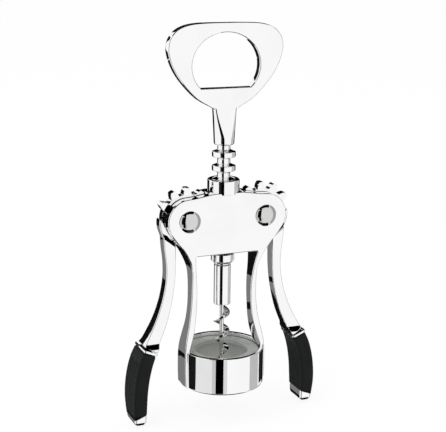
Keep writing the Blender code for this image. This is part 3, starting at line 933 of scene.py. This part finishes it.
def makeWorm():
    s = wormSizes
    low, high = boxOf("worm")
    socketLow = boxOf("worm_socket")[0].z
    top = socketLow - 0.3
    core = [(0, low.z), (0.12, low.z + 0.1), (0.55, low.z + 2.2), (s["core"], low.z + 5.5), (s["core"], top - 0.6),
            (s["shank"], top + 0.2), (s["shank"], high.z), (0, high.z)]
    bladeLow, bladeHigh = low.z + 0.8, top - 1.0
    turns = (bladeHigh - bladeLow) / s["pitch"]
    count = round(turns * s["stepsPerTurn"])
    section = rounded([(0.5, -1.05, 0), (s["blade"], -0.28, 0.22), (s["blade"], 0.28, 0.22), (0.5, 1.05, 0)], 3)
    stations = []
    for i in range(count + 1):
        # the blade grows from its point and runs out at its top
        z = bladeLow + (bladeHigh - bladeLow) * i / count
        turn = math.radians(s["passAngle"]) + math.tau * (z - s["passHeight"]) / s["pitch"]
        starting = 0.3 + 0.7 * i / (0.7 * s["stepsPerTurn"])
        ending = 0.35 + 0.65 * (count - i) / (0.12 * s["stepsPerTurn"])
        reach = min(1, starting, ending)
        upright = Matrix.Rotation(math.pi / 2, 4, "X")
        stations.append(Matrix.Translation((0, 0, z)) @ Matrix.Rotation(turn, 4, "Z") @ upright
                        @ Matrix.Diagonal((reach, max(reach, 0.6), 1, 1)))
    blade = sweep(section, stations)
    makePiece("wormScrew", joined(lathe(core, 40), blade), "handle", ["worm"], steel)


makeRack()
makeHead()
makeSpindle()
makeWorm()


# studio

studio = {
    "worldLight": 1.0,
    "floorDrop": 1.0,
    "floorRadius": 9.0,
    "floorGlow": (0.99, 0.88),  # strength, share
    "lamp": {"azimuth": -60, "elevation": 50, "distance": 1.3, "middle": 0.085, "side": 0.9, "power": 6},
    # upright cards that only reflections show: azimuths of both edges, distance, low and high z, brightness
    "cards": {
        "cameraFlag": (-37, -16, 1.2, -1.2, 1.2, 0.0),
        "rightGrey": (62, 98, 1.18, -1.2, 1.0, 0.52),
        "rightFlag": (105, 147, 1.16, -1.2, 1.0, 0.0),
        "leftRear": (-190, -146, 0.3, -0.25, 0.05, 0.005),
        "leftRearBand": (-170, -144, 0.29, -0.075, -0.012, 0.2),
        "leftRearLow": (-170, -144, 0.29, -0.16, -0.088, 0.2),
        "holeDark": (-164, -155.5, 0.31, 0.07, 0.26, 0.01),
        "leftRearNear": (-196, -140, 0.15, 0.034, 0.116, 0.006),
        "cameraFlagHigh": (-55, -37, 1.2, -0.40, 0.8, 0.02),
        "behindAbove": (97, 186, 1.22, 0.3, 1.3, 0.0),
        "leftLight": (-105, -47, 1.24, -1.2, -0.41, 0.82),
        "leftHaze": (-47, -37, 1.24, -1.2, -0.41, 0.6),
        "rightHaze": (-16, -6, 1.24, -1.2, -0.41, 0.72),
    },
    # level ones: z, side, brightness
    "lids": {"ceiling": (1.3, 2.4, 0.0), "under": (-1.3, 1.8, 0.0)},
}


def directionTo(azimuth, elevation):
    # azimuth 0 is the front, and 90 the right
    turn, rise = math.radians(azimuth), math.radians(elevation)
    return Vector((math.sin(turn) * math.cos(rise), -math.cos(turn) * math.cos(rise), math.sin(rise)))


def plainMaterial(name, brightness):
    found = bpy.data.materials.new(name)
    found.use_nodes = True
    tree = found.node_tree
    tree.nodes.clear()
    glow = addNode(tree, "Emission")
    glow.inputs["Color"].default_value = (brightness, brightness, brightness, 1)
    tree.links.new(glow.outputs[0], addNode(tree, "OutputMaterial").inputs["Surface"])
    return found


def makeCard(name, place, sizeX, sizeY, brightness):
    # a grid that starts level, with its size along x and y
    bm = bmesh.new()
    bmesh.ops.create_grid(bm, x_segments=1, y_segments=1, size=0.5)
    bmesh.ops.transform(bm, matrix=place @ Matrix.Diagonal((sizeX, sizeY, 1, 1)), verts=bm.verts)
    mesh = bpy.data.meshes.new(name)
    bm.to_mesh(mesh)
    bm.free()
    card = bpy.data.objects.new(name, mesh)
    bpy.context.scene.collection.objects.link(card)
    mesh.materials.append(plainMaterial(name, brightness))
    card.visible_camera = card.visible_diffuse = card.visible_shadow = card.visible_transmission = False


def makeCards():
    for name, (start, end, distance, low, high, brightness) in studio["cards"].items():
        away = directionTo((start + end) / 2, 0)
        width = 2 * distance * math.tan(math.radians((end - start) / 2))
        place = Matrix.Translation(away * distance + Vector((0, 0, (low + high) / 2)))
        makeCard(name, place @ (-away).to_track_quat("Z", "Y").to_matrix().to_4x4(), width, high - low, brightness)
    for name, (z, side, brightness) in studio["lids"].items():
        makeCard(name, Matrix.Translation((0, 0, z)), side, side, brightness)


def makeStudio():
    s = studio
    world = bpy.data.worlds.new("studioLight")
    bpy.context.scene.world = world
    world.use_nodes = True
    shade = world.node_tree.nodes["Background"]
    shade.inputs["Color"].default_value = (1, 1, 1, 1)
    shade.inputs["Strength"].default_value = s["worldLight"]
    makeCards()
    floorZ = cadBox[0].z - s["floorDrop"] * mm
    bm = bmesh.new()
    bmesh.ops.create_circle(bm, cap_ends=True, segments=64, radius=s["floorRadius"])
    bmesh.ops.translate(bm, verts=bm.verts, vec=(0, 0, floorZ))
    mesh = bpy.data.meshes.new("floor")
    bm.to_mesh(mesh)
    bm.free()
    floor = bpy.data.objects.new("floor", mesh)
    bpy.context.scene.collection.objects.link(floor)
    mesh.materials.append(floorMaterial())
    floor.visible_glossy = False
    makeLamp()
    bpy.context.scene.view_settings.view_transform = "Standard"


def makeLamp():
    s = studio["lamp"]
    key = bpy.data.lights.new("softKey", "AREA")
    key.shape, key.size, key.size_y, key.energy = "RECTANGLE", s["side"], s["side"], s["power"]
    lamp = bpy.data.objects.new("softKey", key)
    bpy.context.scene.collection.objects.link(lamp)
    away = directionTo(s["azimuth"], s["elevation"])
    lamp.location = away * s["distance"] + Vector((0, 0, s["middle"]))
    lamp.rotation_mode = "QUATERNION"
    lamp.rotation_quaternion = away.to_track_quat("Z", "Y")
    lamp.visible_glossy = False


def floorMaterial():
    # paper that glows a little, so that it stays near white under the piece
    found, tree, shader, place = newMaterial("floorPaper", roughness=0.9)
    tone = addRange(tree, addNoise(tree, place, 40, 2), 0.3, 0.7, 0.975, 0.985)
    tree.links.new(tone, shader.inputs["Base Color"])
    shader.inputs["Specular IOR Level"].default_value = 0
    strength, share = studio["floorGlow"]
    glow = addNode(tree, "Emission")
    glow.inputs["Strength"].default_value = strength
    mix = addNode(tree, "MixShader")
    mix.inputs["Fac"].default_value = share
    tree.links.new(shader.outputs[0], mix.inputs[1])
    tree.links.new(glow.outputs[0], mix.inputs[2])
    tree.links.new(mix.outputs[0], tree.nodes["Material Output"].inputs["Surface"])
    return found


cameraSizes = {"azimuth": -22.951, "elevation": 14.176, "roll": 0.755, "aim": (0, 0, 0.08433), "distance": 0.56758,
               "lens": 95.15}


def makeCamera():
    s = cameraSizes
    back = directionTo(s["azimuth"], s["elevation"])
    right = Vector((math.cos(math.radians(s["azimuth"])), math.sin(math.radians(s["azimuth"])), 0))
    up = back.cross(right)
    lean = Matrix.Rotation(math.radians(s["roll"]), 3, back)
    data = bpy.data.cameras.new("camera")
    data.lens, data.sensor_width = s["lens"], 36
    data.clip_start, data.clip_end = 0.05, 30
    camera = bpy.data.objects.new("camera", data)
    bpy.context.scene.collection.objects.link(camera)
    facing = Matrix((lean @ right, lean @ up, back)).transposed().to_4x4()
    camera.matrix_world = Matrix.Translation(Vector(s["aim"]) + back * s["distance"]) @ facing
    bpy.context.scene.camera = camera


makeStudio()
makeCamera()
print("studio and camera ready")
